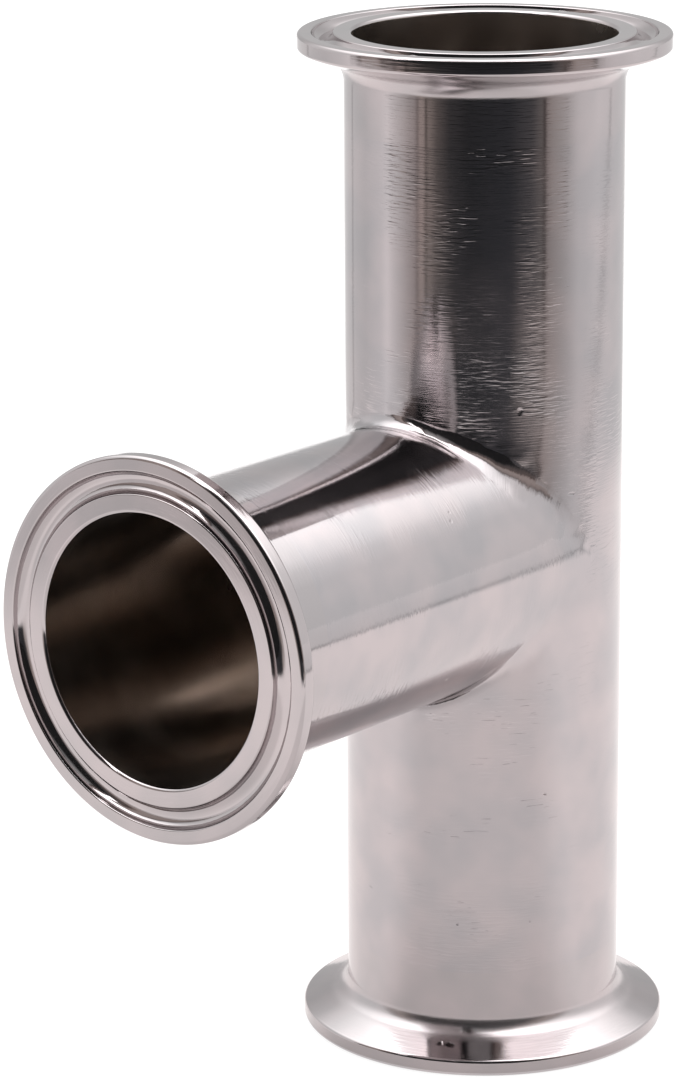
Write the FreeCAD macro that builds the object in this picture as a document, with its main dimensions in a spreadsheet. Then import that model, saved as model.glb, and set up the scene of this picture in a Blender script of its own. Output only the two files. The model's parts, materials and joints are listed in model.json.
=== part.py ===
"""Sanitary clamp tee for 38 mm tube, as a parametric document in millimetres.

The run stands upright on its lower clamp face, with the origin at that face's centre and +Z
along the run's axis.  The branch points along -Y.  A tee body with a drawn outlet carries a
turned clamp ferrule, butt-welded and ground flush, at each of its three ends.
"""
import FreeCAD, Part
import math
import os
import Sketcher

DRIVING_SIZES = [
    ("tube_diameter", 38.0, "outside diameter of the tube"),
    ("tube_wall", 1.2, "wall of the tube, the same all through the fitting"),
    ("run_arm", 70.0, "branch axis to each clamp face of the run"),
    ("branch_arm", 70.0, "run axis to the clamp face of the branch"),
    ("crotch_radius", 1.8, "outside blend between the run and the drawn outlet"),
    ("ferrule_length", 12.7, "clamp face to weld seam, as on a short weld ferrule"),
    ("rim_projection", 6.25, "how far the clamp rim stands out from the tube"),
    ("rim_land", 2.2, "straight outer edge of the clamp rim"),
    ("bevel_angle", 20.0, "back bevel that the clamp rides up, in degrees"),
    ("neck_radius", 2.6, "hollow between the bevel and the tube"),
    ("groove_inset", 3.45, "rim edge to the middle of the gasket groove"),
    ("groove_mouth", 2.9, "gasket groove across its mouth"),
    ("groove_floor", 1.4, "gasket groove across its floor"),
    ("groove_depth", 1.3, "gasket groove from the clamp face to its floor"),
]

OUTSIDE = "sizes.tube_diameter / 2"
BORE = "sizes.tube_diameter / 2 - sizes.tube_wall"
RIM = "sizes.tube_diameter / 2 + sizes.rim_projection"
GROOVE_MIDDLE = RIM + " - sizes.groove_inset"
CORE_REACH = "sizes.tube_diameter"
RUN_REST = "sizes.run_arm - sizes.ferrule_length - sizes.tube_diameter"
OUTLET_REST = "sizes.branch_arm - sizes.ferrule_length - sizes.tube_diameter"

NEARNESS = 0.005                # how near an edge lies to the surfaces where it is looked for
CENTRE = FreeCAD.Vector(0, 0, 0)
UPRIGHT = FreeCAD.Vector(0, 0, 1)
ACROSS = FreeCAD.Vector(1, 0, 0)
START, END, MIDDLE = range(1, 4)    # the points of a sketched line or arc
SKETCH_ORIGIN = (-1, 1)
SIDE_AXIS, UP_AXIS = -1, -2


def make_sheet(doc):
    """Keep every driving size in one spreadsheet, one named cell each."""
    sheet = doc.addObject("Spreadsheet::Sheet", "sizes")
    for row, (alias, value, meaning) in enumerate(DRIVING_SIZES, start=1):
        sheet.set("A%d" % row, alias)
        sheet.set("B%d" % row, str(value))
        sheet.set("C%d" % row, meaning)
        sheet.setAlias("B%d" % row, alias)
    doc.recompute()
    return sheet


def base_plane(body, role):
    """One of the body's own base planes."""
    return [feature for feature in body.Origin.OriginFeatures if feature.Role == role][0]


def add_sketch(body, name, role, offset=None):
    """A sketch on a base plane, moved along the plane's normal where an offset is given."""
    sketch = body.newObject("Sketcher::SketchObject", name)
    sketch.AttachmentSupport = [(base_plane(body, role), "")]
    sketch.MapMode = "FlatFace"
    if offset:
        sketch.setExpression("AttachmentOffset.Base.z", offset)
    return sketch


def bind(sketch, name, expression, *constraint):
    """Add a constraint with a size, name it and tie the size to the sheet."""
    index = sketch.addConstraint(Sketcher.Constraint(*constraint))
    sketch.renameConstraint(index, name)
    sketch.setExpression("Constraints." + name, expression)


def draw_lines(sketch, corners):
    """Straight lines from corner to corner, joined end to end."""
    points = [FreeCAD.Vector(x, y, 0) for x, y in corners]
    lines = [
        sketch.addGeometry(Part.LineSegment(first, second), False)
        for first, second in zip(points, points[1:])
    ]
    for line, following in zip(lines, lines[1:]):
        sketch.addConstraint(Sketcher.Constraint("Coincident", line, END, following, START))
    return lines


def draw_arc(sketch, centre, radius, first_angle, last_angle):
    """A counterclockwise arc, with its angles in degrees from the sketch's side axis."""
    circle = Part.Circle(FreeCAD.Vector(centre[0], centre[1], 0), UPRIGHT, radius)
    ends = (math.radians(first_angle), math.radians(last_angle))
    return sketch.addGeometry(Part.ArcOfCircle(circle, *ends), False)


def draw_sector(sketch, radius, expression, first_angle, last_angle):
    """The slice of a disc between two axis directions, about the sketch's origin."""
    arc = draw_arc(sketch, (0, 0), radius, first_angle, last_angle)
    sketch.addConstraint(Sketcher.Constraint("Coincident", arc, MIDDLE, *SKETCH_ORIGIN))
    bind(sketch, "radius", expression, "Radius", arc, radius)
    points = []
    for angle in (last_angle, first_angle):
        turn = math.radians(angle)
        points.append((radius * math.cos(turn), radius * math.sin(turn)))
    inward, outward = draw_lines(sketch, [points[0], (0, 0), points[1]])
    sketch.addConstraint(Sketcher.Constraint("Coincident", arc, END, inward, START))
    sketch.addConstraint(Sketcher.Constraint("Coincident", outward, END, arc, START))
    sketch.addConstraint(Sketcher.Constraint("Coincident", inward, END, *SKETCH_ORIGIN))
    for line, angle in ((inward, last_angle), (outward, first_angle)):
        direction = "Horizontal" if angle % 180 == 0 else "Vertical"
        sketch.addConstraint(Sketcher.Constraint(direction, line))


def draw_wall_sector(sketch, outside, bore, first_angle, last_angle):
    """The slice of the tube's wall between two axis directions."""
    outer = draw_arc(sketch, (0, 0), outside, first_angle, last_angle)
    inner = draw_arc(sketch, (0, 0), bore, first_angle, last_angle)
    for arc, name, expression, radius in (
            (outer, "outside", OUTSIDE, outside), (inner, "bore", BORE, bore)):
        sketch.addConstraint(Sketcher.Constraint("Coincident", arc, MIDDLE, *SKETCH_ORIGIN))
        bind(sketch, name, expression, "Radius", arc, radius)
    for angle, end in ((first_angle, START), (last_angle, END)):
        turn = math.radians(angle)
        corners = [(r * math.cos(turn), r * math.sin(turn)) for r in (bore, outside)]
        side, = draw_lines(sketch, corners)
        sketch.addConstraint(Sketcher.Constraint("Coincident", side, START, inner, end))
        sketch.addConstraint(Sketcher.Constraint("Coincident", side, END, outer, end))
        direction = "Horizontal" if angle % 180 == 0 else "Vertical"
        sketch.addConstraint(Sketcher.Constraint(direction, side))


def draw_disc(sketch, radius, expression):
    """A full circle about the sketch's origin."""
    circle = sketch.addGeometry(Part.Circle(CENTRE, UPRIGHT, radius), False)
    sketch.addConstraint(Sketcher.Constraint("Coincident", circle, MIDDLE, *SKETCH_ORIGIN))
    bind(sketch, "radius", expression, "Radius", circle, radius)


def add_feature(body, kind, name, sketch, length=None):
    """A Pad or Pocket of the sketch over a bound length, or a turning about its up axis."""
    feature = body.newObject("PartDesign::" + kind, name)
    feature.Profile = sketch
    if length:
        feature.setExpression("Length", length)
    else:
        feature.ReferenceAxis = (sketch, ["V_Axis"])
        feature.Angle = 360.0
    body.Document.recompute()
    return feature


def add_cut(body, kind, name, sketch, before, length=None):
    """A feature that takes material away, with proof that it did."""
    feature = add_feature(body, kind, name, sketch, length)
    if not feature.Shape.Volume < before.Shape.Volume:
        raise ValueError(name + " cuts nothing")
    return feature


def round_crossing(body, name, base, cylinder_radius, blend):
    """Round the edge where the run's and the outlet's cylinders of one radius meet."""
    crossing = []
    for number, edge in enumerate(base.Shape.Edges, start=1):
        if edge.Degenerated:
            continue
        offsets = []
        for point in edge.discretize(5):
            offsets.append(math.hypot(point.x, point.y) - cylinder_radius)
            offsets.append(math.hypot(point.x, point.z) - cylinder_radius)
        if max(abs(offset) for offset in offsets) < NEARNESS:
            crossing.append("Edge%d" % number)
    feature = body.newObject("PartDesign::Fillet", name)
    feature.Base = (base, crossing)
    feature.setExpression("Radius", blend)
    body.Document.recompute()
    return feature


def mirror_whole(body, name, role, merge_faces=True):
    """The body's shape so far, with its mirror image across a base plane."""
    feature = body.newObject("PartDesign::Mirrored", name)
    feature.TransformMode = "Whole shape"
    feature.Refine = merge_faces
    feature.MirrorPlane = (base_plane(body, role), [""])
    body.Tip = feature
    body.Document.recompute()
    return feature


def make_tee_body(doc, sheet):
    """Tube with an outlet of its own size drawn out of its side, open at three ends.

    It is modelled about the crossing of its two axes.  Both planes through the outlet's axis
    are planes of symmetry, so one quarter carries both blends, and two mirrors complete it.
    The core about the crossing reaches one tube diameter each way, so that its blends don't
    depend on the arms, and plain tube carries it on to the ferrules.
    """
    body = doc.addObject("PartDesign::Body", "tee_body")
    outside = sheet.tube_diameter / 2
    bore = outside - sheet.tube_wall

    run_sketch = add_sketch(body, "run_outline", "XY_Plane")
    draw_sector(run_sketch, outside, OUTSIDE, -90, 90)
    add_feature(body, "Pad", "run", run_sketch, CORE_REACH)

    outlet_sketch = add_sketch(body, "outlet_outline", "XZ_Plane")
    draw_sector(outlet_sketch, outside, OUTSIDE, 0, 90)
    outlet = add_feature(body, "Pad", "outlet", outlet_sketch, CORE_REACH)
    blended = round_crossing(body, "crotch_outside", outlet, outside, "sizes.crotch_radius")

    run_bore_sketch = add_sketch(body, "run_bore_outline", "XY_Plane", CORE_REACH)
    draw_disc(run_bore_sketch, bore, BORE)
    bored = add_cut(body, "Pocket", "run_bore", run_bore_sketch, blended, CORE_REACH)

    outlet_bore_sketch = add_sketch(body, "outlet_bore_outline", "XZ_Plane", CORE_REACH)
    draw_disc(outlet_bore_sketch, bore, BORE)
    opened = add_cut(body, "Pocket", "outlet_bore", outlet_bore_sketch, bored, CORE_REACH)
    inner_blend = "sizes.crotch_radius + sizes.tube_wall"
    round_crossing(body, "crotch_inside", opened, bore, inner_blend)

    run_end_sketch = add_sketch(body, "run_end_outline", "XY_Plane", CORE_REACH)
    draw_wall_sector(run_end_sketch, outside, bore, -90, 90)
    add_feature(body, "Pad", "run_end", run_end_sketch, RUN_REST)

    outlet_end_sketch = add_sketch(body, "outlet_end_outline", "XZ_Plane", CORE_REACH)
    draw_wall_sector(outlet_end_sketch, outside, bore, 0, 90)
    add_feature(body, "Pad", "outlet_end", outlet_end_sketch, OUTLET_REST)

    mirror_whole(body, "other_side", "YZ_Plane")
    # The halves keep their own faces: a bore merged into one face would have its seam line
    # touch the corner of the outlet's opening, which makes that face invalid.
    mirror_whole(body, "lower_half", "XY_Plane", merge_faces=False)
    body.setExpression("Placement.Base.z", "sizes.run_arm")
    return body


def draw_ferrule_section(sketch, sheet):
    """Half of the ferrule's section: clamp face, rim, back bevel, hollow neck and tube."""
    tube = sheet.tube_diameter / 2
    bore = tube - sheet.tube_wall
    rim = tube + sheet.rim_projection
    hollow = sheet.neck_radius
    slope = math.radians(sheet.bevel_angle)
    corner = sheet.rim_land + sheet.rim_projection * math.tan(slope)
    reach = hollow * math.tan((math.radians(90) - slope) / 2)
    bevel_end = (tube + reach * math.cos(slope), corner - reach * math.sin(slope))
    wall_start = (tube, corner + reach)

    face, edge, bevel = draw_lines(
        sketch, [(bore, 0), (rim, 0), (rim, sheet.rim_land), bevel_end])
    wall, weld_end, inside = draw_lines(
        sketch, [wall_start, (tube, sheet.ferrule_length), (bore, sheet.ferrule_length), (bore, 0)])
    neck = draw_arc(
        sketch, (tube + hollow, corner + reach), hollow, 180, 270 - sheet.bevel_angle)

    sketch.addConstraint(Sketcher.Constraint("Coincident", inside, END, face, START))
    sketch.addConstraint(Sketcher.Constraint("Tangent", bevel, END, neck, END))
    sketch.addConstraint(Sketcher.Constraint("Tangent", neck, START, wall, START))
    for line in (face, weld_end):
        sketch.addConstraint(Sketcher.Constraint("Horizontal", line))
    for line in (edge, wall, inside):
        sketch.addConstraint(Sketcher.Constraint("Vertical", line))
    sketch.addConstraint(Sketcher.Constraint("PointOnObject", face, START, SIDE_AXIS))
    bind(sketch, "bore_radius", BORE, "DistanceX", *SKETCH_ORIGIN, face, START, bore)
    bind(sketch, "rim_radius", RIM, "DistanceX", *SKETCH_ORIGIN, face, END, rim)
    bind(sketch, "tube_radius", OUTSIDE, "DistanceX", *SKETCH_ORIGIN, wall, END, tube)
    bind(sketch, "rim_land", "sizes.rim_land", "DistanceY", edge, START, edge, END,
         sheet.rim_land)
    bind(sketch, "ferrule_length", "sizes.ferrule_length", "DistanceY", *SKETCH_ORIGIN,
         wall, END, sheet.ferrule_length)
    bind(sketch, "neck_radius", "sizes.neck_radius", "Radius", neck, hollow)
    bind(sketch, "bevel_angle", "(180 - sizes.bevel_angle) * 1 deg", "Angle", bevel,
         math.pi - slope)


def draw_groove_section(sketch, sheet):
    """Section of the gasket groove: sloping sides down to a flat floor."""
    middle = sheet.tube_diameter / 2 + sheet.rim_projection - sheet.groove_inset
    mouth = sheet.groove_mouth / 2
    floor = sheet.groove_floor / 2
    depth = sheet.groove_depth
    corners = [
        (middle - mouth, 0),
        (middle - floor, depth),
        (middle + floor, depth),
        (middle + mouth, 0),
        (middle - mouth, 0),
    ]
    inner_side, bottom, outer_side, opening = draw_lines(sketch, corners)
    sketch.addConstraint(
        Sketcher.Constraint("Coincident", opening, END, inner_side, START))
    sketch.addConstraint(Sketcher.Constraint("PointOnObject", opening, START, SIDE_AXIS))
    sketch.addConstraint(Sketcher.Constraint("PointOnObject", opening, END, SIDE_AXIS))
    sketch.addConstraint(Sketcher.Constraint("Horizontal", bottom))
    places = [
        ("inner_mouth", inner_side, START, " - sizes.groove_mouth / 2", middle - mouth),
        ("inner_floor", bottom, START, " - sizes.groove_floor / 2", middle - floor),
        ("outer_floor", bottom, END, " + sizes.groove_floor / 2", middle + floor),
        ("outer_mouth", outer_side, END, " + sizes.groove_mouth / 2", middle + mouth),
    ]
    for name, line, point, share, size in places:
        bind(sketch, name, GROOVE_MIDDLE + share, "DistanceX", *SKETCH_ORIGIN, line, point, size)
    bind(sketch, "groove_depth", "sizes.groove_depth", "DistanceY", *SKETCH_ORIGIN,
         bottom, START, depth)


def make_ferrule(doc, sheet, name):
    """Turned clamp ferrule: its clamp face at height 0, its weld end above."""
    body = doc.addObject("PartDesign::Body", name)
    section = add_sketch(body, name + "_section", "XZ_Plane")
    draw_ferrule_section(section, sheet)
    turned = add_feature(body, "Revolution", name + "_turning", section)

    groove_section = add_sketch(body, name + "_groove_section", "XZ_Plane")
    draw_groove_section(groove_section, sheet)
    add_cut(body, "Groove", name + "_gasket_groove", groove_section, turned)
    return body


def place_ferrule(body, turn, along_y, along_z):
    """Turn a ferrule about the X axis and bind where its clamp face stands."""
    body.Placement = FreeCAD.Placement(CENTRE, FreeCAD.Rotation(ACROSS, turn))
    if along_y:
        body.setExpression("Placement.Base.y", along_y)
    body.setExpression("Placement.Base.z", along_z)


def check_document(doc, bodies):
    """Stop if any object failed to build or any sub-part is not one closed solid."""
    for thing in doc.Objects:
        if "Invalid" in thing.State or "Error" in thing.State:
            raise ValueError(thing.Label + " did not build")
    for body in bodies:
        shape = body.Shape
        if shape.isNull() or not shape.isValid() or len(shape.Solids) != 1:
            raise ValueError(body.Label + " is not one valid solid")


def main():
    doc = FreeCAD.newDocument("clamp_tee")
    sheet = make_sheet(doc)
    tee_body = make_tee_body(doc, sheet)
    bottom = make_ferrule(doc, sheet, "run_bottom_ferrule")
    top = make_ferrule(doc, sheet, "run_top_ferrule")
    branch = make_ferrule(doc, sheet, "branch_ferrule")
    place_ferrule(top, 180, None, "2 * sizes.run_arm")
    place_ferrule(branch, -90, "-sizes.branch_arm", "sizes.run_arm")
    doc.recompute()

    bodies = [tee_body, bottom, top, branch]
    check_document(doc, bodies)
    os.makedirs("parts", exist_ok=True)
    for body in bodies:
        body.Shape.exportStep(os.path.join("parts", body.Label + ".step"))


main()
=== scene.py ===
"""Sanitary clamp tee of polished stainless steel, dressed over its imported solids.

The tee shell and the three turned ferrules stand for the four solids, with the same sizes,
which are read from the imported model.  The shell is a quad sheet that follows the blends of the
drawn outlet, and one Geometry Nodes lathe turns every ferrule from its named sizes.
"""
import json
import math

import bpy
import numpy as np
from mathutils import Euler, Matrix, Vector


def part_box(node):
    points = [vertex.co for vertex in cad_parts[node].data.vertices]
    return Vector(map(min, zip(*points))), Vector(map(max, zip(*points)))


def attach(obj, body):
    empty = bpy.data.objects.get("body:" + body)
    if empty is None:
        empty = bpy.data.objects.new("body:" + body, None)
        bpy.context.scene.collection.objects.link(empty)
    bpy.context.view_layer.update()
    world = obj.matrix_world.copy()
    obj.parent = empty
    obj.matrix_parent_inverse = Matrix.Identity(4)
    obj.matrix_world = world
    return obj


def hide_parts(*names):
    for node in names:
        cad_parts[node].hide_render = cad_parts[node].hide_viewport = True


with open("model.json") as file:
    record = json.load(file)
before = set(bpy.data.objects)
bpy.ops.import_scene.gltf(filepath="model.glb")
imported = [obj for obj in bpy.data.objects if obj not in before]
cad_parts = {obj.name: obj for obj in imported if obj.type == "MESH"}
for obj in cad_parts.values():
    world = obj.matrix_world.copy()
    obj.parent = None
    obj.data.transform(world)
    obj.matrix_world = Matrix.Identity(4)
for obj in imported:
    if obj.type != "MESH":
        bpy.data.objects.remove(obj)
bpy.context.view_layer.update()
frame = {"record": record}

MM = 0.001

# Sizes in millimetres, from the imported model

tee_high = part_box("tee_body")[1]
rim_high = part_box("run_bottom_ferrule")[1]
branch_low, branch_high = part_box("branch_ferrule")
bore_mount = next(m for m in frame["record"]["mounts"] if m["name"] == "bottom_bore")

TUBE = tee_high[0] / MM
BORE = bore_mount["dims"]["r_mm"]
WALL = TUBE - BORE
RIM = rim_high[0] / MM
FERRULE = rim_high[2] / MM
RUN_ARM = (branch_low[2] + branch_high[2]) / 2 / MM
BRANCH_ARM = -branch_low[1] / MM
RUN_SEAM = RUN_ARM - FERRULE
BRANCH_SEAM = BRANCH_ARM - FERRULE
CROTCH = 1.8                    # outside blend of the drawn outlet, as in the solids

RIM_LAND = 2.2                  # straight outer edge of the clamp rim
BEVEL_ANGLE = math.radians(20)
NECK_RADIUS = 2.6
GROOVE_MIDDLE = RIM - 3.45
GROOVE_HALF_MOUTH = 1.45
GROOVE_HALF_FLOOR = 1.38        # before the floor's corners are rounded
GROOVE_DEPTH = 1.3
GROOVE_ROUNDING = 1.25
EDGE_ROUNDING = 0.2             # too small for the solids: only a glint in the render
RIM_ROUNDING = 0.55             # buffing has rounded the rim and the bore's edge a little more
BORE_ROUNDING = 0.5


def colour(hex_code):
    """An sRGB hex colour as linear red, green, blue and full opacity."""
    channels = [int(hex_code[i:i + 2], 16) / 255 for i in (1, 3, 5)]
    linear = [c / 12.92 if c <= 0.04045 else ((c + 0.055) / 1.055) ** 2.4 for c in channels]
    return (*linear, 1.0)


def add_node(tree, kind, links=None, **settings):
    """Add a node with its settings; links give each input a value or another node's socket.

    A colour Mix node has its factor at 0, its colours at 6 and 7, and its result at 2.
    """
    node = tree.nodes.new(kind)
    for name, value in settings.items():
        setattr(node, name, value)
    for name, value in (links or {}).items():
        if isinstance(value, bpy.types.NodeSocket):
            tree.links.new(value, node.inputs[name])
        else:
            node.inputs[name].default_value = value
    return node


# Tee shell

COLUMNS = 112                   # round half of a tube
RUN_ROWS = 60
ARC_ROWS = 14
BRANCH_ROWS = 60
CROTCH_WORK = 2.2               # how far each side of the crotch hand polishing reaches, in mm
FLANK_BLEND = 11.0              # polishing widens the blend by this, where run and outlet are level
FLANK_FALL = 1.3                # how fast that fades from there to the plane of both axes
FLANK_SOFTENING = 0.5           # share by which the flanks' normals lean towards the blend's middle
SOFTENING_REACH = 7.0           # how far from the blend they do, in mm
MERGE_GRID = 1e4                # steps to a millimetre; points on the same step are one


def slerp(first, last, steps):
    """Unit vectors from first to last in even steps, both ends included."""
    angle = np.arccos(np.clip((first * last).sum(-1, keepdims=True), -1, 1))
    share = np.linspace(0, 1, steps + 1)[:, None, None]
    even = first * (1 - share) + last * share
    sine = np.sin(angle)
    turned = (np.sin((1 - share) * angle) * first + np.sin(share * angle) * last)
    with np.errstate(invalid="ignore", divide="ignore"):
        swept = np.where(sine > 1e-6, turned / sine, even)
    return swept / np.linalg.norm(swept, axis=-1, keepdims=True)


def softened(normals, middle, weight):
    """Normals turned towards the middle of the blend, as hand polishing blurs its edges."""
    turned = normals * (1 - weight[..., None]) + middle * weight[..., None]
    return turned / np.linalg.norm(turned, axis=-1, keepdims=True)


def tube_sheets(radius, blend, widening):
    """The surface of the drawn tee at one radius, in sheets.

    Each sheet has grids of points, normals, pattern places and nearness to the crotch.  Lengths
    are from the crossing of the axes.  A ball of the blend's radius rolls along the crotch and
    touches run and outlet in the same column, so columns run straight through.
    """
    sheets = []
    turn = np.linspace(0, 2 * np.pi, 2 * COLUMNS + 1)
    level = np.clip(np.sin(turn), 0, None)
    flank = (1 - level) ** FLANK_FALL
    rolling = blend + widening * flank
    whole_reach = radius + rolling
    soft = FLANK_SOFTENING * (widening > 0) * flank
    between = np.stack([2 * np.cos(turn), -level, level], -1)
    for half in (1, -1):
        foot = whole_reach * level
        rows = np.linspace(0, 1, RUN_ROWS + 1)[:, None]
        height = RUN_SEAM + (foot - RUN_SEAM) * rows
        out = np.stack([np.cos(turn), -np.sin(turn), np.zeros_like(turn)], -1)
        normals = np.broadcast_to(out, height.shape + (3,))
        points = radius * normals + np.stack([0 * height, 0 * height, half * height], -1)
        blend_middle = between * [1, 1, half]
        blend_middle = blend_middle / np.linalg.norm(blend_middle, axis=-1, keepdims=True)
        weight = np.where(np.sin(turn) >= 0,
                          soft * np.exp(-((height - foot) / SOFTENING_REACH) ** 2), 0)
        normals = softened(normals, blend_middle, weight)
        places = np.stack([np.broadcast_to(turn * TUBE, height.shape), half * height], -1)
        near = np.where(np.sin(turn) >= 0, np.exp(-((height - foot) / CROTCH_WORK) ** 2), 0)
        sheets.append((points, normals, places, near))

        front = turn[:COLUMNS + 1]
        reach = whole_reach[:COLUMNS + 1]
        middle = np.stack([np.cos(front), -np.sin(front), half * np.sin(front)], -1)
        inward = slerp(-middle * [1, 1, 0], -middle * [1, 0, 1], ARC_ROWS)
        points = reach[:, None] * middle + rolling[:COLUMNS + 1, None] * inward
        flank_middle = blend_middle[:COLUMNS + 1]
        inward = slerp(-softened(middle * [1, 1, 0], flank_middle, soft[:COLUMNS + 1]),
                       -softened(middle * [1, 0, 1], flank_middle, soft[:COLUMNS + 1]), ARC_ROWS)
        share = np.broadcast_to(np.linspace(0, 1, ARC_ROWS + 1)[:, None], points.shape[:2])
        places = np.stack([np.broadcast_to(front * TUBE, share.shape),
                           half * reach * np.sin(front) + share], -1)
        sheets.append((points, -inward, places, np.ones_like(share)))

        start = -reach * np.sin(front)
        rows = np.linspace(0, 1, BRANCH_ROWS + 1)[:, None]
        along = start + (-BRANCH_SEAM - start) * rows
        out = np.stack([np.cos(front), np.zeros_like(front), half * np.sin(front)], -1)
        normals = np.broadcast_to(out, along.shape + (3,))
        points = radius * normals + np.stack([0 * along, along, 0 * along], -1)
        weight = soft[:COLUMNS + 1] * np.exp(-((along - start) / SOFTENING_REACH) ** 2)
        normals = softened(normals, flank_middle, weight)
        places = np.stack([np.broadcast_to(half * front * TUBE, along.shape), along], -1)
        near = np.exp(-((along - start) / CROTCH_WORK) ** 2)
        sheets.append((points, normals, places, near))
    return sheets


def end_rings(outside, inside):
    """Flat rings that close the wall where the ferrules are welded on."""
    rings = []
    upper_run, lower_run, upper_branch, lower_branch = 0, 3, 2, 5
    for number, row, normal in ((upper_run, 0, (0, 0, 1)), (lower_run, 0, (0, 0, -1)),
                                (upper_branch, -1, (0, -1, 0)), (lower_branch, -1, (0, -1, 0))):
        points = np.stack([outside[number][0][row], inside[number][0][row]])
        places = np.stack([outside[number][2][row], inside[number][2][row]])
        normals = np.broadcast_to(np.array(normal, float), points.shape)
        rings.append((points, normals, places, np.zeros(points.shape[:2])))
    return rings


def make_tee_shell():
    """Joins the sheets into one closed mesh whose normals are exact."""
    outside = tube_sheets(TUBE, CROTCH, FLANK_BLEND)
    inside = tube_sheets(BORE, CROTCH + WALL, 0.0)
    points, normals, places, crotch, faces = [], [], [], [], []
    base = 0

    def take(sheet, flip):
        """Add a sheet's points and quads; flip turns its normals towards the axis."""
        nonlocal base
        grid, direction, place, share = sheet
        rows, columns = grid.shape[:2]
        points.append(grid.reshape(-1, 3))
        normals.append(direction.reshape(-1, 3) * (-1 if flip else 1))
        places.append(place.reshape(-1, 2))
        crotch.append(share.reshape(-1))
        number = base + np.arange(rows * columns).reshape(rows, columns)
        quads = np.stack([number[:-1, :-1], number[1:, :-1], number[1:, 1:], number[:-1, 1:]], -1)
        faces.append(quads.reshape(-1, 4))
        base += rows * columns

    for sheet in outside:
        take(sheet, False)
    inner_start = base
    for sheet in inside:
        take(sheet, True)
    inner_end = base
    for sheet in end_rings(outside, inside):
        take(sheet, False)
    points, normals = np.concatenate(points), np.concatenate(normals)
    places, crotch, faces = np.concatenate(places), np.concatenate(crotch), np.concatenate(faces)

    _, first, where = np.unique(np.round(points * MERGE_GRID).astype(np.int64), axis=0,
                                return_index=True, return_inverse=True)
    where = where.reshape(-1)
    corners, loops, in_bore = [], [], []
    for quad in faces:
        ring, old = [], []
        for corner in quad:
            if where[corner] not in ring:
                ring.append(where[corner])
                old.append(corner)
        if len(ring) < 3:
            continue
        a, b, c = (points[i] for i in old[:3])
        if np.dot(np.cross(b - a, c - a), normals[old[0]]) < 0:
            ring.reverse()
            old.reverse()
        corners.append([int(i) for i in ring])
        loops.extend(old)
        in_bore.append(inner_start <= old[0] < inner_end)

    mesh = bpy.data.meshes.new("drawn_tee_shell")
    centre = np.array([0, 0, RUN_ARM])
    mesh.from_pydata(((points[first] + centre) * MM).tolist(), [], corners)
    mesh.shade_smooth()
    mesh.polygons.foreach_set("material_index", np.array(in_bore, dtype=np.int32))
    layer = mesh.uv_layers.new(name="polish_places")
    layer.data.foreach_set("uv", (places[loops] * MM).astype(np.float32).ravel())
    worked = mesh.attributes.new("crotch_work", "FLOAT", "POINT")
    worked.data.foreach_set("value", crotch[first].astype(np.float32))
    mesh.update()
    mesh.normals_split_custom_set(normals[loops].tolist())
    shell = bpy.data.objects.new("drawn_tee_shell", mesh)
    bpy.context.scene.collection.objects.link(shell)
    return shell


# Turned ferrules

FERRULE_SIZES = {
    "Bore radius": BORE * MM,
    "Tube radius": TUBE * MM,
    "Rim radius": RIM * MM,
    "Rim land": RIM_LAND * MM,
    "Bevel end height": (RIM_LAND + (RIM - TUBE) * math.tan(BEVEL_ANGLE)) * MM,
    "Neck radius": NECK_RADIUS * MM,
    "Weld height": FERRULE * MM,
    "Groove middle": GROOVE_MIDDLE * MM,
    "Groove half mouth": GROOVE_HALF_MOUTH * MM,
    "Groove half floor": GROOVE_HALF_FLOOR * MM,
    "Groove depth": GROOVE_DEPTH * MM,
    "Groove rounding": GROOVE_ROUNDING * MM,
    "Edge rounding": EDGE_ROUNDING * MM,
    "Rim rounding": RIM_ROUNDING * MM,
    "Bore rounding": BORE_ROUNDING * MM,
}
AROUND = 240                    # facets round a ferrule
ROUNDING_STEPS = 7              # points added on each rounded corner of its section
SHARP_EDGE = math.radians(60)   # edges that turn more than this stay sharp
BORE_MARGIN = 0.02              # how far outside the bore's radius its facets may lie, in mm


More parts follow.
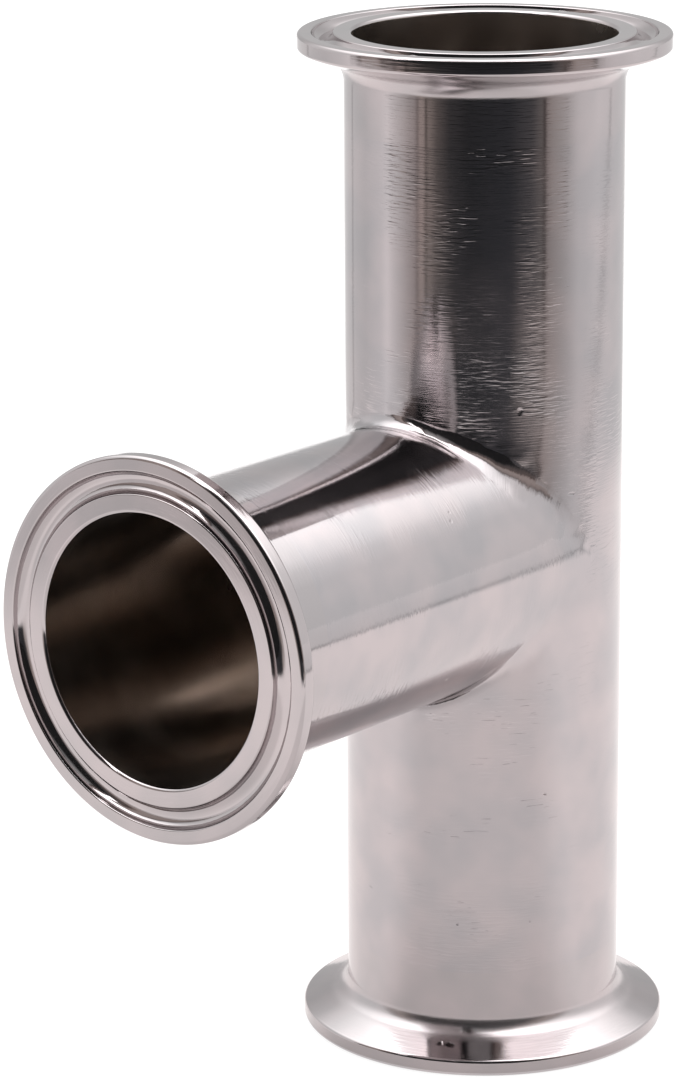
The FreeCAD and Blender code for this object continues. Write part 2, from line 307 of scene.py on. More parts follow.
def make_lathe():
    """Geometry Nodes tree that turns a clamp ferrule from its section's named sizes."""
    tree = bpy.data.node_groups.new("clamp_ferrule_lathe", "GeometryNodeTree")
    tree.interface.new_socket("Geometry", in_out="OUTPUT", socket_type="NodeSocketGeometry")
    for name, size in FERRULE_SIZES.items():
        socket = tree.interface.new_socket(name, in_out="INPUT", socket_type="NodeSocketFloat")
        socket.default_value = size
    around = tree.interface.new_socket("Facets", in_out="INPUT", socket_type="NodeSocketInt")
    around.default_value = AROUND
    tree.interface.new_socket("Turn", in_out="INPUT", socket_type="NodeSocketRotation")
    tree.interface.new_socket("Place", in_out="INPUT", socket_type="NodeSocketVector")
    tree.interface.new_socket("Finish", in_out="INPUT", socket_type="NodeSocketMaterial")
    size = add_node(tree, "NodeGroupInput").outputs

    middle = size["Groove middle"]
    bore, tube, rim = size["Bore radius"], size["Tube radius"], size["Rim radius"]
    depth, small = size["Groove depth"], size["Edge rounding"]
    groove = [add_node(tree, "ShaderNodeMath", {0: middle, 1: size[half]}, operation=way).outputs[0]
              for half, way in (("Groove half mouth", "SUBTRACT"),
                                ("Groove half floor", "SUBTRACT"),
                                ("Groove half floor", "ADD"), ("Groove half mouth", "ADD"))]
    section = [
        (bore, 0.0, size["Bore rounding"]),
        (groove[0], 0.0, small),
        (groove[1], depth, size["Groove rounding"]),
        (groove[2], depth, size["Groove rounding"]),
        (groove[3], 0.0, small),
        (rim, 0.0, size["Rim rounding"]),
        (rim, size["Rim land"], size["Rim rounding"]),
        (tube, size["Bevel end height"], size["Neck radius"]),
        (tube, size["Weld height"], 0.0),
        (bore, size["Weld height"], 0.0),
    ]
    index = add_node(tree, "GeometryNodeInputIndex").outputs[0]
    corner = add_node(tree, "GeometryNodeIndexSwitch", {"Index": index}, data_type="VECTOR")
    rounding = add_node(tree, "GeometryNodeIndexSwitch", {"Index": index}, data_type="FLOAT")
    for switch in (corner, rounding):
        for _ in range(len(section) - 2):
            switch.index_switch_items.new()
    for number, (out, up, curve) in enumerate(section, start=1):
        point = add_node(tree, "ShaderNodeCombineXYZ", {"X": out, "Y": up}).outputs[0]
        tree.links.new(point, corner.inputs[number])
        if isinstance(curve, bpy.types.NodeSocket):
            tree.links.new(curve, rounding.inputs[number])
        else:
            rounding.inputs[number].default_value = curve

    line = add_node(tree, "GeometryNodeMeshLine", {"Count": len(section)}).outputs["Mesh"]
    drawn = add_node(tree, "GeometryNodeSetPosition",
                     {"Geometry": line, "Position": corner.outputs[0]}).outputs[0]
    curve = add_node(tree, "GeometryNodeMeshToCurve", {"Mesh": drawn}).outputs[0]
    closed = add_node(tree, "GeometryNodeSetSplineCyclic",
                      {"Geometry": curve, "Cyclic": True}).outputs[0]
    fillet = add_node(tree, "GeometryNodeFilletCurve",
                      {"Curve": closed, "Count": ROUNDING_STEPS, "Radius": rounding.outputs[0]},
                      mode="POLY")
    length = add_node(tree, "GeometryNodeSplineParameter").outputs["Length"]
    measured = add_node(tree, "GeometryNodeStoreNamedAttribute",
                        {"Geometry": fillet.outputs[0], "Name": "across", "Value": length},
                        data_type="FLOAT", domain="POINT").outputs[0]

    # The section is drawn out along a straight bar, which is then bent into a ring.
    steps = add_node(tree, "ShaderNodeMath", {0: size["Facets"], 1: 1.0},
                     operation="ADD").outputs[0]
    bar = add_node(tree, "GeometryNodeCurvePrimitiveLine",
                   {"Start": (0, 0, 0), "End": (0, 0, 1)}).outputs[0]
    stepped = add_node(tree, "GeometryNodeResampleCurve", {"Curve": bar, "Count": steps}).outputs[0]
    swept = add_node(tree, "GeometryNodeCurveToMesh",
                     {"Curve": stepped, "Profile Curve": measured}).outputs[0]
    where = add_node(tree, "GeometryNodeInputPosition").outputs[0]
    part = add_node(tree, "ShaderNodeSeparateXYZ", {0: where}).outputs
    across = add_node(tree, "GeometryNodeInputNamedAttribute", {"Name": "across"},
                      data_type="FLOAT").outputs["Attribute"]
    turned = add_node(tree, "ShaderNodeMath", {0: part["Z"], 1: 2 * math.pi},
                      operation="MULTIPLY").outputs[0]
    ring = add_node(tree, "ShaderNodeMath", {0: turned, 1: tube}, operation="MULTIPLY").outputs[0]
    place = add_node(tree, "ShaderNodeCombineXYZ", {"X": ring, "Y": across}).outputs[0]
    mapped = add_node(tree, "GeometryNodeStoreNamedAttribute",
                      {"Geometry": swept, "Name": "polish_places", "Value": place},
                      data_type="FLOAT2", domain="CORNER").outputs[0]
    flat = add_node(tree, "ShaderNodeCombineXYZ", {"X": part["X"], "Z": part["Y"]}).outputs[0]
    bent = add_node(tree, "ShaderNodeVectorRotate", {"Vector": flat, "Angle": turned},
                    rotation_type="Z_AXIS").outputs[0]
    shaped = add_node(tree, "GeometryNodeSetPosition",
                      {"Geometry": mapped, "Position": bent}).outputs[0]
    joined = add_node(tree, "GeometryNodeMergeByDistance",
                      {"Geometry": shaped, "Distance": 1e-6}).outputs[0]
    outward = add_node(tree, "GeometryNodeFlipFaces", {"Mesh": joined}).outputs[0]
    placed = add_node(tree, "GeometryNodeTransform",
                      {"Geometry": outward, "Translation": size["Place"],
                       "Rotation": size["Turn"]}).outputs[0]
    smooth = add_node(tree, "GeometryNodeSetShadeSmooth", {"Geometry": placed}).outputs[0]
    angle = add_node(tree, "GeometryNodeInputMeshEdgeAngle").outputs["Unsigned Angle"]
    square = add_node(tree, "FunctionNodeCompare", {"A": angle, "B": SHARP_EDGE},
                      operation="GREATER_THAN").outputs[0]
    sharp = add_node(tree, "GeometryNodeSetShadeSmooth",
                     {"Geometry": smooth, "Selection": square, "Shade Smooth": False},
                     domain="EDGE").outputs[0]
    real = add_node(tree, "GeometryNodeRealizeInstances", {"Geometry": sharp}).outputs[0]
    finished = add_node(tree, "GeometryNodeSetMaterial",
                        {"Geometry": real, "Material": size["Finish"]}).outputs[0]
    add_node(tree, "NodeGroupOutput", {"Geometry": finished})
    return tree


def turn_ferrule(name, lathe, finish, turn, place):
    """One ferrule from the lathe, as a plain mesh with its place in it."""
    blank = bpy.data.objects.new(name + "_blank", bpy.data.meshes.new(name + "_blank"))
    bpy.context.scene.collection.objects.link(blank)
    turning = blank.modifiers.new("turning", "NODES")
    turning.node_group = lathe
    values = {"Turn": Euler(turn), "Place": Vector(place) * MM, "Finish": finish}
    for item in lathe.interface.items_tree:
        if item.in_out == "INPUT" and item.name in values:
            turning[item.identifier] = values[item.name]
    # Wide faces keep their own direction where a small rounding meets them.
    blank.modifiers.new("even_faces", "WEIGHTED_NORMAL").keep_sharp = True
    bpy.context.view_layer.update()
    graph = bpy.context.evaluated_depsgraph_get()
    mesh = bpy.data.meshes.new_from_object(
        blank.evaluated_get(graph), preserve_all_data_layers=True, depsgraph=graph)
    bpy.data.objects.remove(blank)
    mesh.name = name
    ferrule = bpy.data.objects.new(name, mesh)
    bpy.context.scene.collection.objects.link(ferrule)
    mesh.materials.append(bore_finish)
    axis = Euler(turn).to_matrix() @ Vector((0, 0, 1))
    for face in mesh.polygons:
        arm = face.center - Vector(place) * MM
        out = arm - axis * arm.dot(axis)
        if out.length < (BORE + BORE_MARGIN) * MM and out.dot(face.normal) < 0:
            face.material_index = 1
    return ferrule


# Finishes

# Sizes of the patterns in millimetres: slow ones, and the stray of the pits' outlines
CLOUD = 9
RIPPLE = 7
PATCH = 8
DAB = 2.8
WOBBLE = 0.7

PIT_SHADE_TINT = "#2E2825"                # colour of the painted shade in the pits
SEAM_DULLNESS = 0.26            # roughness of the hand-dressed neck
SEAM_REACH = (1.1, 2.6)         # from its middle to where that starts and ends fading, in mm


def blank_material(name):
    """An empty material with its node tree and shader."""
    material = bpy.data.materials.new(name)
    material.use_nodes = True
    tree = material.node_tree
    tree.nodes.clear()
    shader = add_node(tree, "ShaderNodeBsdfPrincipled")
    add_node(tree, "ShaderNodeOutputMaterial", {"Surface": shader.outputs[0]})
    return material, tree, shader


def marks(tree, places, length, pitch, contrast, detail=3.0, seed=0.0):
    """Fine lines round the part, as long and as far apart as given in millimetres."""
    scale = (1 / (length * MM), 1 / (pitch * MM), 1.0)
    stretched = add_node(tree, "ShaderNodeMapping",
                         {"Vector": places, "Scale": scale, "Location": (seed, seed, seed)})
    noise = add_node(tree, "ShaderNodeTexNoise",
                     {"Vector": stretched.outputs[0], "Scale": 1.0, "Detail": detail,
                      "Roughness": 0.6})
    return add_node(tree, "ShaderNodeMapRange",
                    {"Value": noise.outputs[0], "From Min": 0.5 - contrast,
                     "From Max": 0.5 + contrast}).outputs[0]


def pits(tree, where, spots):
    """Height of small pits and nicks, each given in millimetres by its middle and its reach.

    Their outlines stray by up to a quarter of a millimetre.
    """
    wobble = add_node(tree, "ShaderNodeTexNoise", {"Vector": where, "Scale": 1 / (WOBBLE * MM)})
    strayed = add_node(tree, "ShaderNodeVectorMath",
                       {0: wobble.outputs["Color"], 1: (0.5 * MM,) * 3, 2: (-0.25 * MM,) * 3},
                       operation="MULTIPLY_ADD").outputs[0]
    where = add_node(tree, "ShaderNodeVectorMath", {0: where, 1: strayed},
                     operation="ADD").outputs[0]
    height = None
    for middle, reach in spots:
        moved = add_node(tree, "ShaderNodeVectorMath",
                         {0: where, 1: tuple(c * MM for c in middle)}, operation="SUBTRACT")
        scaled = add_node(tree, "ShaderNodeVectorMath",
                          {0: moved.outputs[0], 1: tuple(1 / (r * MM) for r in reach)},
                          operation="MULTIPLY")
        away = add_node(tree, "ShaderNodeVectorMath", {0: scaled.outputs[0]}, operation="LENGTH")
        dip = add_node(tree, "ShaderNodeMapRange",
                       {"Value": away.outputs["Value"], "From Min": 0.2, "To Min": -1.0,
                        "To Max": 0.0}, interpolation_type="SMOOTHSTEP").outputs[0]
        height = dip if height is None else add_node(
            tree, "ShaderNodeMath", {0: height, 1: dip}, operation="MINIMUM").outputs[0]
    return height


def polished_steel(name, tones, roughness, stretch, depths, spots=(), pit_shade=0.0, seam=None):
    """316L stainless, ground round with fine grit and then buffed.

    The eye gets a grey mirror whose reflections are crisp across the lines of the grit and
    drawn out along them, with a slow ripple where the buffing wheel dwelt and a soft clouding
    between two tones.  The depths, in millimetres, are those of the kinds of relief that it has:
    the ripple, the pits, the dabs of hand work in the crotch, the stray scratches, the few sharp
    hairlines and the grit.  In the pits the base colour is darkened, a painted shade.  A seam,
    given by its place on the section, is duller, because the weld beside it was dressed by hand.
    """
    material, tree, shader = blank_material(name)
    shader.inputs["Metallic"].default_value = 1.0
    shader.inputs["Anisotropic"].default_value = stretch
    shader.inputs["Anisotropic Rotation"].default_value = 0.25
    places = add_node(tree, "ShaderNodeUVMap", uv_map="polish_places").outputs[0]
    where = add_node(tree, "ShaderNodeTexCoord").outputs["Object"]

    clouded = add_node(tree, "ShaderNodeTexNoise",
                       {"Vector": where, "Scale": 1 / (CLOUD * MM), "Detail": 2.0}).outputs[0]
    tone = add_node(tree, "ShaderNodeMapRange",
                    {"Value": clouded, "From Min": 0.35, "From Max": 0.65}).outputs[0]
    warm = add_node(tree, "ShaderNodeMix",
                    {0: tone, 6: colour(tones[0]), 7: colour(tones[1])}, data_type="RGBA")
    surface = warm.outputs[2]
    dips = pits(tree, where, spots) if spots else None
    if spots:
        # Painted shade: in the pits the base colour darkens towards a dark tint, by the share
        # given.
        dark = add_node(tree, "ShaderNodeMapRange",
                        {"Value": dips, "From Min": -0.9, "From Max": -0.1, "To Min": pit_shade,
                         "To Max": 0.0}).outputs[0]
        surface = add_node(tree, "ShaderNodeMix", {0: dark, 6: surface, 7: colour(PIT_SHADE_TINT)},
                           data_type="RGBA").outputs[2]
    tree.links.new(surface, shader.inputs["Base Color"])

    # The lines of fine grit are too narrow to show, so they are drawn as coarse as this.
    grit = marks(tree, places, length=5.0, pitch=0.22, contrast=0.2)
    clouds = add_node(tree, "ShaderNodeTexNoise",
                      {"Vector": where, "Scale": 1 / (CLOUD * MM), "Detail": 3.0}).outputs[0]
    haze = add_node(tree, "ShaderNodeMapRange",
                    {"Value": clouds, "From Min": 0.4, "From Max": 0.75,
                     "To Min": roughness, "To Max": roughness * 1.5}).outputs[0]
    if seam:
        along = add_node(tree, "ShaderNodeSeparateXYZ", {0: places}).outputs["Y"]
        past = add_node(tree, "ShaderNodeMath", {0: along, 1: seam * MM},
                        operation="SUBTRACT").outputs[0]
        away = add_node(tree, "ShaderNodeMath", {0: past}, operation="ABSOLUTE").outputs[0]
        haze = add_node(tree, "ShaderNodeMapRange",
                        {"Value": away, "From Min": SEAM_REACH[0] * MM,
                         "From Max": SEAM_REACH[1] * MM, "To Min": SEAM_DULLNESS, "To Max": haze},
                        interpolation_type="SMOOTHSTEP").outputs[0]
    tree.links.new(haze, shader.inputs["Roughness"])

    ripple = add_node(tree, "ShaderNodeTexNoise",
                      {"Vector": where, "Scale": 1 / (RIPPLE * MM), "Detail": 1.0}).outputs[0]
    worked = add_node(tree, "ShaderNodeAttribute", attribute_name="crotch_work").outputs["Fac"]
    dabs = add_node(tree, "ShaderNodeTexNoise",
                    {"Vector": where, "Scale": 1 / (DAB * MM), "Detail": 0.6}).outputs[0]
    # Stray scratches come in patches, shorter and deeper than the grit they run along.
    scratches = marks(tree, places, length=2.8, pitch=0.45, contrast=0.14, detail=1.0, seed=3.0)
    patches = add_node(tree, "ShaderNodeTexNoise",
                       {"Vector": where, "Scale": 1 / (PATCH * MM), "Detail": 1.0}).outputs[0]
    patchy = add_node(tree, "ShaderNodeMapRange",
                      {"Value": patches, "From Min": 0.42, "From Max": 0.6}).outputs[0]
    hairs = marks(tree, places, length=2.4, pitch=0.3, contrast=0.5, detail=0.0, seed=7.0)
    sharp_hairs = add_node(tree, "ShaderNodeMapRange",
                           {"Value": hairs, "From Min": 0.62, "From Max": 0.72},
                           interpolation_type="SMOOTHSTEP").outputs[0]
    relief = {}
    for kind, height, strength in (("ripple", ripple, 1.0), ("pit", dips, 1.0),
                                   ("dab", dabs, worked), ("scratch", scratches, patchy),
                                   ("hair", sharp_hairs, patchy), ("grit", grit, 1.0)):
        if kind in depths:
            layer = add_node(tree, "ShaderNodeBump",
                             {"Height": height, "Strength": strength,
                              "Distance": depths[kind] * MM, **relief})
            relief = {"Normal": layer.outputs[0]}
    tree.links.new(relief["Normal"], shader.inputs["Normal"])
    tangent = add_node(tree, "ShaderNodeTangent", direction_type="UV_MAP", uv_map="polish_places")
    tree.links.new(tangent.outputs[0], shader.inputs["Tangent"])
    return material


# The marks that the photo shows: middle, and reach each way, in millimetres
TUBE_MARKS = (
    ((14.9, -11.8, 92.0), (0.5, 0.5, 0.7)), ((18.4, -4.8, 79.8), (0.6, 0.9, 0.25)),
    ((15.8, -28.0, 80.6), (0.4, 0.4, 0.4)), ((15.1, -27.5, 81.6), (0.3, 0.3, 0.3)),
    ((15.7, -28.8, 59.3), (0.35, 0.35, 0.35)), ((-5.6, -18.2, 22.3), (0.7, 0.6, 0.25)),
    ((17.0, -8.5, 38.1), (0.35, 0.35, 0.25)), ((16.0, -10.4, 19.8), (0.25, 0.25, 0.25)),
    ((8.6, -17.0, 19.8), (0.25, 0.25, 0.25)))
FERRULE_MARKS = (
    ((10.0, -16.6, 4.3), (1.3, 1.1, 0.7)), ((9.6, -20.1, 3.3), (1.2, 0.8, 0.5)),
    ((8.2, -20.6, 3.2), (0.7, 0.6, 0.5)))
TUBE_DEPTHS = {"ripple": 0.015, "pit": 0.03, "dab": 0.15, "scratch": 0.008, "hair": 0.005,
               "grit": 0.004}
FERRULE_DEPTHS = {"ripple": 0.008, "pit": 0.06, "scratch": 0.003, "grit": 0.002}
BORE_DEPTHS = {"ripple": 0.01, "grit": 0.004}

# How far along a ferrule's section, from its bore over the groove and the rim, the neck lies
ROUNDED_OFF = 1.6               # what the roundings take from the way round the corners
GROOVE_SLOPE = GROOVE_HALF_MOUTH - GROOVE_HALF_FLOOR
NECK_ALONG = (RIM - BORE + RIM_LAND + (RIM - TUBE) / math.cos(BEVEL_ANGLE)
              + 2 * (math.hypot(GROOVE_DEPTH, GROOVE_SLOPE) - GROOVE_SLOPE) - ROUNDED_OFF)

# Belt polishing leaves clear reflections on the tube, drawn out round it.
tube_finish = polished_steel("belt_polished_316l", ("#B3AFB1", "#BFB7B8"), 0.065, 0.8,
                             TUBE_DEPTHS, TUBE_MARKS, 0.15)
# Turned and buffed, the ferrules are smoother and reflect a little more sharply.
ferrule_finish = polished_steel("turned_buffed_316l", ("#B5B0B1", "#BFB7B8"), 0.06, 0.4,
                                FERRULE_DEPTHS, FERRULE_MARKS, 0.9, NECK_ALONG)
# Inside, the tube keeps the duller grey-brown of its drawn and pickled surface.
bore_finish = polished_steel("pickled_bore_316l", ("#A89D95", "#B2A8A0"), 0.19, 0.3,
                             BORE_DEPTHS)


# Object

shell = make_tee_shell()
shell.data.materials.append(tube_finish)
shell.data.materials.append(bore_finish)
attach(shell, "root")
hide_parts("tee_body")

lathe = make_lathe()
for name, node, turn, place in (
        ("lower_clamp_ferrule", "run_bottom_ferrule", (0, 0, 0), (0, 0, 0)),
        ("upper_clamp_ferrule", "run_top_ferrule", (math.pi, 0, 0), (0, 0, 2 * RUN_ARM)),
        ("branch_clamp_ferrule", "branch_ferrule", (-math.pi / 2, 0, 0),
         (0, -BRANCH_ARM, RUN_ARM))):
    ferrule = turn_ferrule(name, lathe, ferrule_finish, turn, place)
    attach(ferrule, "root")
    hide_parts(node)


# Studio

CAMERA_PLACE = (342.009, -454.233, 227.241)
CAMERA_RIGHT = (0.77844661, 0.62767884, -0.00633572)
CAMERA_UP = (-0.16328194, 0.21222736, 0.96348251)
CAMERA_FORWARD = (-0.6061022, 0.74898519, -0.26769629)
LENS = 142.298                  # millimetres, on a sensor 36 mm on the longer side

FLOOR_GREY = "#6E6C6C"
FLOOR_GLOW = 0.83               # light of the floor's own, so that it is as white as the tent
FLOOR_CORNERS = ((-6, -6), (6, -6), (6, 6), (-6, 6))
SHEET_EDGE = 0.263              # how far along X the floor's white sheet reaches, in metres
TENT_LIGHT = 4.0                # strength that the tent's levels are given as shares of
FAR_WALL_LIGHT = 2.6            # the same for the wall behind the part
FLAG_DISTANCE = 0.9             # of the opening's cards from the part, in metres
# Azimuths are counted in degrees from the branch's direction towards +X.
OPENING_SIDE = 36.9775          # the middle of the dark that the opening gives the floor
# The tent's dark opening: height in degrees, then azimuths of the left curtain's outer and inner
# edge and the right curtain's inner and outer edge
OPENING = ((-14, -52, -10, 80, 118), (10, -50, -20, 74, 108), (30, -46, -18, 64, 98),
           (45, -30, -6, 58, 82), (60, -8, 4, 48, 66), (74, 8, 18, 40, 50))


def stage_sheet(name, corners, faces, material):
    """A flat or curved card of the studio."""
    mesh = bpy.data.meshes.new(name)
    mesh.from_pydata(corners, [], faces)
    mesh.shade_smooth()
    card = bpy.data.objects.new(name, mesh)
    card.data.materials.append(material)
    bpy.context.scene.collection.objects.link(card)
    return card


def card_material(name, hex_code):
    """A matt studio surface, with its shader for any light of its own."""
    material, tree, shader = blank_material(name)
    shader.inputs["Base Color"].default_value = colour(hex_code)
    shader.inputs["Roughness"].default_value = 0.9
    shader.inputs["Emission Color"].default_value = colour("#FFFFFF")
    return material, tree, shader


def curved_card(name, outline, material, steps=12, reach=FLAG_DISTANCE):
    """A card bent round the part, between two edges that change with height."""
    corners = []
    for height, left, right in outline:
        for step in range(steps + 1):
            azimuth = math.radians(left + (right - left) * step / steps)
            level = math.radians(height)
            corners.append((reach * math.cos(level) * math.sin(azimuth),
                            -reach * math.cos(level) * math.cos(azimuth),
                            RUN_ARM * MM + reach * math.sin(level)))
    faces = []
    for row in range(len(outline) - 1):
        for step in range(steps):
            first = row * (steps + 1) + step
            faces.append((first, first + 1, first + steps + 2, first + steps + 1))
    card = stage_sheet(name, corners, faces, material)
    open_share = card.data.attributes.new("open_share", "FLOAT", "POINT")
    shares = [step / steps for _ in outline for step in range(steps + 1)]
    open_share.data.foreach_set("value", shares)
    return card


def hide_from_camera(card):
    """Only polished metal sees this card."""
    card.visible_camera = False
    card.visible_diffuse = False
    card.visible_shadow = False


ahead = Vector((math.sin(math.radians(OPENING_SIDE)), -math.cos(math.radians(OPENING_SIDE)), 0))
aside = Vector((-ahead.y, ahead.x, 0))

pale, tree, shader = card_material("pale_floor", FLOOR_GREY)
shader.inputs["Emission Strength"].default_value = FLOOR_GLOW
stage_sheet("floor", [(x, y, 0) for x, y in FLOOR_CORNERS], [(0, 1, 2, 3)], pale)

# What the polished steel sees of the floor, its light and shade painted on, in degrees from the
# middle of the opening's dark, counted through +X to +Y: the painted dark with its thin seams,
# the walls beside it, white behind
OPENING_FLOOR = (
    (-166, "#FFFFFF"), (-158, "#D6D6D6"), (-136.6, "#D6D6D6"),
    (-136, "#3C3838"), (-135.4, "#3C3838"), (-134.8, "#D6D6D6"), (-112, "#D4D4D4"),
    (-92, "#E8E6E6"), (-85, "#F6F4F4"), (-76, "#DCDADA"), (-66, "#C0BBBA"), (-56.5, "#A69C9A"),
    (-55.5, "#4C403D"), (-54, "#AEA19C"), (-49, "#A89B95"), (-48, "#382E2B"),
    (-46, "#968B85"), (-38, "#605956"), (-28, "#343335"), (-12, "#1E2025"), (20, "#282A30"),
    (38, "#48474A"), (47.5, "#6C6765"), (48.5, "#302321"), (50, "#302321"), (51, "#9A918E"),
    (66, "#B7B3B2"), (82, "#D8D7D7"), (104, "#E4E4E4"), (158, "#D2D2D2"), (166, "#FFFFFF"))

reflected, tree, shader = card_material("reflected_floor", FLOOR_GREY)
where = add_node(tree, "ShaderNodeTexCoord").outputs["Object"]
parts = [add_node(tree, "ShaderNodeVectorMath", {0: where, 1: tuple(way)},
                  operation="DOT_PRODUCT").outputs["Value"] for way in (aside, ahead)]
turn = add_node(tree, "ShaderNodeMath", {0: parts[0], 1: parts[1]},
                operation="ARCTAN2").outputs[0]
bearing = add_node(tree, "ShaderNodeMath", {0: turn}, operation="DEGREES").outputs[0]
distance = add_node(tree, "ShaderNodeVectorMath", {0: where}, operation="LENGTH").outputs["Value"]
around = add_node(tree, "ShaderNodeMath", {0: bearing, 1: 1 / 360, 2: 0.5},
                  operation="MULTIPLY_ADD").outputs[0]
seams = add_node(tree, "ShaderNodeValToRGB", {0: around})
while len(seams.color_ramp.elements) < len(OPENING_FLOOR):
    seams.color_ramp.elements.new(0.5)
for element, (angle, tint) in zip(seams.color_ramp.elements, OPENING_FLOOR):
    element.position = (angle + 180) / 360
    element.color = colour(tint)
# Painted light: nearer the part, more light gets in at both sides of the opening.
off_middle = add_node(tree, "ShaderNodeMath", {0: bearing}, operation="ABSOLUTE").outputs[0]
sides = add_node(tree, "ShaderNodeMapRange",
                 {"Value": off_middle, "From Min": 18, "From Max": 38},
                 interpolation_type="SMOOTHSTEP").outputs[0]
near_sides = add_node(tree, "ShaderNodeMapRange",
                      {"Value": distance, "From Min": 0.38, "From Max": 0.49, "To Min": sides,
                       "To Max": 0.0}, interpolation_type="SMOOTHSTEP").outputs[0]
dim = add_node(tree, "ShaderNodeMix",
               {0: near_sides, 6: colour("#000000"), 7: colour("#B2AAA6")}, data_type="RGBA")
opening = add_node(tree, "ShaderNodeMix", {0: 1.0, 6: seams.outputs[0], 7: dim.outputs[2]},
                   data_type="RGBA", blend_type="LIGHTEN").outputs[2]
far = add_node(tree, "ShaderNodeMapRange",
               {"Value": distance, "From Min": 0.29, "From Max": 0.36},
               interpolation_type="SMOOTHSTEP").outputs[0]
shade = add_node(tree, "ShaderNodeMix", {0: far, 6: colour("#FFFBFA"), 7: opening},
                 data_type="RGBA").outputs[2]
# The edge of the floor's white sheet beside the part is a thin dark line.
sideways = add_node(tree, "ShaderNodeSeparateXYZ", {0: where}).outputs["X"]
past_edge = add_node(tree, "ShaderNodeMath", {0: sideways, 1: SHEET_EDGE},
                     operation="SUBTRACT").outputs[0]
from_edge = add_node(tree, "ShaderNodeMath", {0: past_edge}, operation="ABSOLUTE").outputs[0]
edge = add_node(tree, "ShaderNodeMapRange",
                {"Value": from_edge, "From Min": 0.006, "From Max": 0.02, "To Min": 0.5},
                interpolation_type="SMOOTHSTEP").outputs[0]
shade = add_node(tree, "ShaderNodeMix", {0: 1.0, 6: shade, 7: edge}, data_type="RGBA",
                 blend_type="MULTIPLY").outputs[2]
# The floor's base colour carries the same painted light and shade as its glow.
painted_light_and_shade = add_node(tree, "ShaderNodeMix", {0: 1.0, 6: colour(FLOOR_GREY), 7: shade},
                 data_type="RGBA", blend_type="MULTIPLY").outputs[2]
tree.links.new(painted_light_and_shade, shader.inputs["Base Color"])
tree.links.new(shade, shader.inputs["Emission Color"])
# Painted shadow: in front, the part and the opening take some light from the floor close by.
around_front = add_node(tree, "ShaderNodeMath", {0: bearing, 1: 4.0}, operation="ADD").outputs[0]
off_front = add_node(tree, "ShaderNodeMath", {0: around_front}, operation="ABSOLUTE").outputs[0]
wedge = add_node(tree, "ShaderNodeMapRange",
                 {"Value": off_front, "From Min": 40, "From Max": 76, "To Min": 1.0, "To Max": 0.0},
                 interpolation_type="SMOOTHSTEP").outputs[0]
foot = add_node(tree, "ShaderNodeMapRange",
                {"Value": distance, "From Min": 0.04, "From Max": 0.09, "To Min": 0.32,
                 "To Max": 0.22}, interpolation_type="SMOOTHSTEP").outputs[0]
beside = add_node(tree, "ShaderNodeMapRange",
                  {"Value": distance, "From Min": 0.19, "From Max": 0.24, "To Min": foot,
                   "To Max": 0.0}, interpolation_type="SMOOTHSTEP").outputs[0]
taken = add_node(tree, "ShaderNodeMath", {0: wedge, 1: beside}, operation="MULTIPLY").outputs[0]
glow = add_node(tree, "ShaderNodeMath", {0: FLOOR_GLOW, 1: taken},
                operation="SUBTRACT").outputs[0]
tree.links.new(glow, shader.inputs["Emission Strength"])
hide_from_camera(stage_sheet("reflected_floor", [(x, y, 0.0005) for x, y in FLOOR_CORNERS],
                             [(0, 1, 2, 3)], reflected))

# The black flag of the opening glows more towards its top: painted light from the lamps there.
black, tree, shader = card_material("black_flag_cloth", "#101214")
where = add_node(tree, "ShaderNodeTexCoord").outputs["Object"]
tall = add_node(tree, "ShaderNodeSeparateXYZ", {0: where}).outputs["Z"]
lit = add_node(tree, "ShaderNodeMapRange",
               {"Value": tall, "From Min": 0.66, "From Max": 0.90, "To Max": 0.5}).outputs[0]
tree.links.new(lit, shader.inputs["Emission Strength"])
hide_from_camera(curved_card("black_flag", [(row[0], row[2], row[3]) for row in OPENING],
                             black))

# The curtains fade from the grey of the tent's wall to the dark of the opening, with two seams.
CURTAIN_TONES = ((0.0, "#DAD8D8"), (0.12, "#CCC9C8"), (0.2, "#5A4E4B"), (0.26, "#A89C97"),
                 (0.55, "#B8ADA8"), (0.62, "#A0928C"), (0.68, "#463A37"), (0.74, "#6E6460"),
                 (1.0, "#343234"))
curtain, tree, shader = card_material("tent_curtain", "#101214")
share = add_node(tree, "ShaderNodeAttribute", attribute_name="open_share").outputs["Fac"]
tones = add_node(tree, "ShaderNodeValToRGB", {0: share})
while len(tones.color_ramp.elements) < len(CURTAIN_TONES):
    tones.color_ramp.elements.new(0.5)
for element, (position, tint) in zip(tones.color_ramp.elements, CURTAIN_TONES):
    element.position = position
    element.color = colour(tint)
tree.links.new(tones.outputs[0], shader.inputs["Emission Color"])
shader.inputs["Emission Strength"].default_value = 1.0
hide_from_camera(curved_card("left_curtain", [row[:3] for row in OPENING], curtain))
hide_from_camera(curved_card("right_curtain", [(row[0], row[4], row[3]) for row in OPENING],
                             curtain))

# A narrow lamp stands at the left edge of the opening.
lamp, tree, shader = card_material("strip_lamp", "#FFFFFF")
shader.inputs["Emission Strength"].default_value = 2.6
hide_from_camera(curved_card("strip_lamp", ((32, -24, -19), (46, -20, -15), (60, -14, -7)),
                             lamp, steps=4, reach=FLAG_DISTANCE - 0.01))

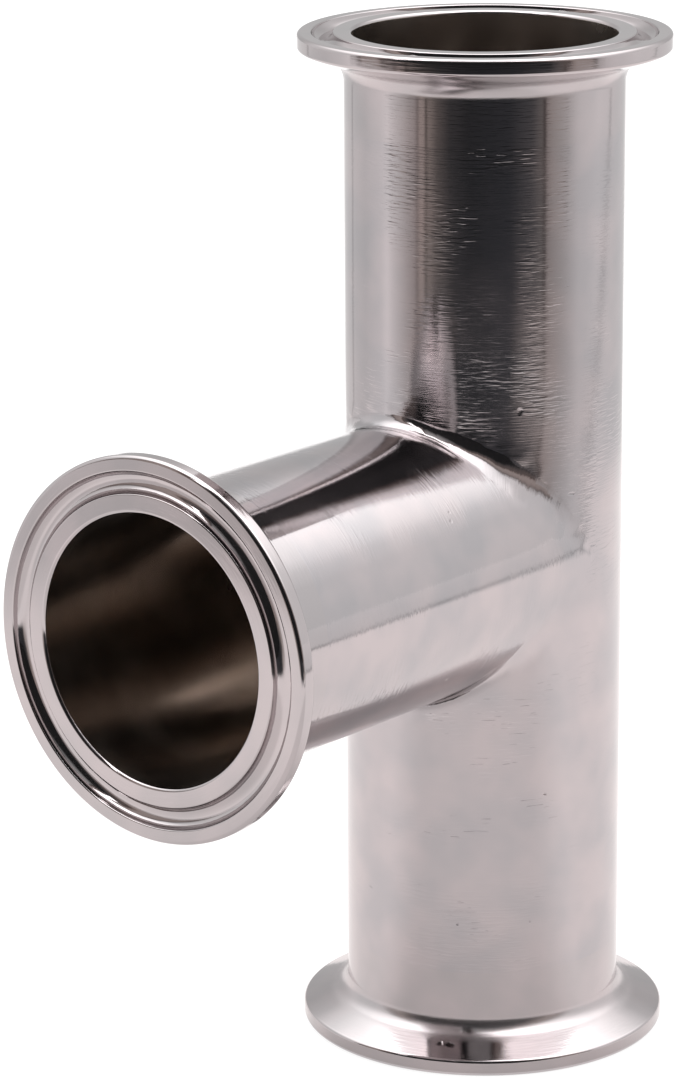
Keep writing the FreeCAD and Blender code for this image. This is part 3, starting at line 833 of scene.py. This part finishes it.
# The tent is brightest overhead, where its lamps are, and pale grey towards the floor.  Each
# level is the upward share of a direction and the strength there.
TENT_LEVELS = ((-0.01, 0.92), (0.35, 1.0), (0.47, 1.2), (0.55, 1.6), (0.64, 1.95), (0.77, 2.4),
               (0.9, 3.4))
world = bpy.data.worlds.new("light_tent")
bpy.context.scene.world = world
world.use_nodes = True
tent = world.node_tree
direction = add_node(tent, "ShaderNodeTexCoord").outputs["Generated"]
height = add_node(tent, "ShaderNodeSeparateXYZ", {0: direction}).outputs["Z"]
upward = add_node(tent, "ShaderNodeMath", {0: height, 1: 0.5, 2: 0.5}, operation="MULTIPLY_ADD")
levels = add_node(tent, "ShaderNodeValToRGB", {0: upward.outputs[0]})
while len(levels.color_ramp.elements) < len(TENT_LEVELS):
    levels.color_ramp.elements.new(0.5)
for element, (position, strength) in zip(levels.color_ramp.elements, TENT_LEVELS):
    element.position = position / 2 + 0.5
    share = strength / TENT_LIGHT
    element.color = (share, share, share, 1.0)
# Its far wall, behind the part, gets less light.
facing = add_node(tent, "ShaderNodeVectorMath", {0: direction, 1: tuple(-ahead)},
                  operation="DOT_PRODUCT").outputs["Value"]
lamps = add_node(tent, "ShaderNodeMapRange",
                 {"Value": facing, "From Min": 0.6, "From Max": 0.9, "To Min": TENT_LIGHT,
                  "To Max": FAR_WALL_LIGHT}, interpolation_type="SMOOTHSTEP").outputs[0]
background = tent.nodes["Background"]
tent.links.new(lamps, background.inputs["Strength"])
tent.links.new(levels.outputs[0], background.inputs["Color"])

camera_data = bpy.data.cameras.new("photo_camera")
camera_data.sensor_fit = "AUTO"
camera_data.sensor_width = 36.0
camera_data.lens = LENS
camera_data.clip_start = 0.01
camera_data.clip_end = 50.0
camera = bpy.data.objects.new("photo_camera", camera_data)
axes = Matrix((CAMERA_RIGHT, CAMERA_UP, [-c for c in CAMERA_FORWARD])).transposed()
camera.matrix_world = Matrix.Translation(Vector(CAMERA_PLACE) * MM) @ axes.to_4x4()
bpy.context.scene.collection.objects.link(camera)
bpy.context.scene.camera = camera
bpy.context.scene.view_settings.view_transform = "Standard"
